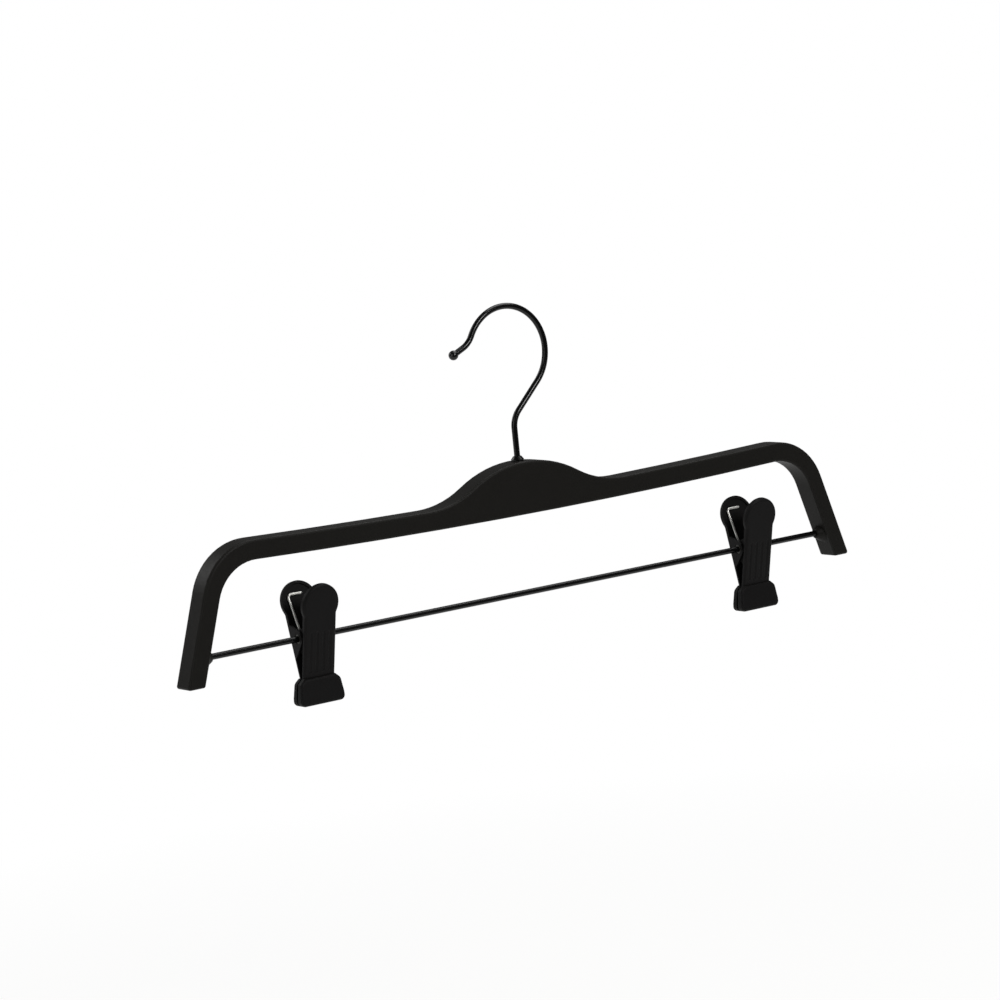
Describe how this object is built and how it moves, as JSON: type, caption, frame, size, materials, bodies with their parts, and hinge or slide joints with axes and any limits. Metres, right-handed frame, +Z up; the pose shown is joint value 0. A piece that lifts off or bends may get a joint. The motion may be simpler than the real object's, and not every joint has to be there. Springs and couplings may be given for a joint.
{
  "type": "skirt hanger",
  "caption": "Dark skirt hanger: a swivelling wire hook on a humped bar with turned-down legs, and sprung clips that slide on a thin cross rod.",
  "frame": {"origin": "inside top of the hook's big bend, where it rests on the rail, in the hanger's middle plane", "axes": "+X along the hanger to the viewer's right with the hook's mouth on the left, +Y from front to back, +Z up"},
  "size_m": [0.3992, 0.0256, 0.1744],
  "materials": {
    "frame_plastic": "moulded plastic with a fine satin grain",
    "coated_steel": "steel wire with a thin semi-gloss black coat",
    "tip_plastic": "small moulded ball, semi-gloss",
    "clip_plastic": "moulded plastic, matte",
    "bush_plastic": "natural nylon tube",
    "grip_rubber": "ribbed black rubber",
    "spring_steel": "bright drawn spring wire"
  },
  "bodies": {
    "hook": {"hook_wire": "coated_steel", "hook_ball_tip": "tip_plastic", "hook_push_nut": "spring_steel"},
    "frame": {"frame": "frame_plastic", "hook_ferrule": "coated_steel", "clip_rod": "coated_steel"},
    "left_slider": {"left_pivot_bush": "bush_plastic"},
    "left_spring_carrier": {"left_spring": "spring_steel"},
    "left_front_jaw": {"left_front_jaw": "clip_plastic", "left_front_grip": "grip_rubber"},
    "left_back_jaw": {"left_back_jaw": "clip_plastic", "left_back_grip": "grip_rubber"},
    "right_slider": {"right_pivot_bush": "bush_plastic"},
    "right_spring_carrier": {"right_spring": "spring_steel"},
    "right_front_jaw": {"right_front_jaw": "clip_plastic", "right_front_grip": "grip_rubber"},
    "right_back_jaw": {"right_back_jaw": "clip_plastic", "right_back_grip": "grip_rubber"}
  },
  "joints": [
    {"name": "hook_swivel", "type": "hinge", "parent": "hook", "child": "frame", "pos_m": [0, 0, -0.07444], "axis": [0, 0, 1], "continuous": true},
    {"name": "left_clip_slide", "type": "slide", "parent": "frame", "child": "left_slider", "axis": [1, 0, 0], "range_m": [-0.0315, 0.113]},
    {"name": "left_clip_swing", "type": "hinge", "parent": "left_slider", "child": "left_spring_carrier", "pos_m": [-0.127, 0, -0.13944], "axis": [1, 0, 0], "continuous": true},
    {"name": "left_front_squeeze", "type": "hinge", "parent": "left_spring_carrier", "child": "left_front_jaw", "pos_m": [-0.127, 0, -0.13944], "axis": [-1, 0, 0], "range_deg": [0, 20], "stiffness_Nm_per_rad": 0.04, "springref_deg": -2.86, "deforming": ["left_spring"]},
    {"name": "left_back_squeeze", "type": "hinge", "parent": "left_spring_carrier", "child": "left_back_jaw", "pos_m": [-0.127, 0, -0.13944], "axis": [1, 0, 0], "range_deg": [0, 20], "stiffness_Nm_per_rad": 0.04, "springref_deg": -2.86},
    {"name": "right_clip_slide", "type": "slide", "parent": "frame", "child": "right_slider", "axis": [1, 0, 0], "range_m": [-0.126, 0.0185]},
    {"name": "right_clip_swing", "type": "hinge", "parent": "right_slider", "child": "right_spring_carrier", "pos_m": [0.14, 0, -0.13944], "axis": [1, 0, 0], "continuous": true},
    {"name": "right_front_squeeze", "type": "hinge", "parent": "right_spring_carrier", "child": "right_front_jaw", "pos_m": [0.14, 0, -0.13944], "axis": [-1, 0, 0], "range_deg": [0, 20], "stiffness_Nm_per_rad": 0.04, "springref_deg": -2.86, "deforming": ["right_spring"]},
    {"name": "right_back_squeeze", "type": "hinge", "parent": "right_spring_carrier", "child": "right_back_jaw", "pos_m": [0.14, 0, -0.13944], "axis": [1, 0, 0], "range_deg": [0, 20], "stiffness_Nm_per_rad": 0.04, "springref_deg": -2.86}
  ],
  "couplings": [
    {"joint": "left_back_squeeze", "follows": "left_front_squeeze", "ratio": 1},
    {"joint": "right_back_squeeze", "follows": "right_front_squeeze", "ratio": 1}
  ]
}
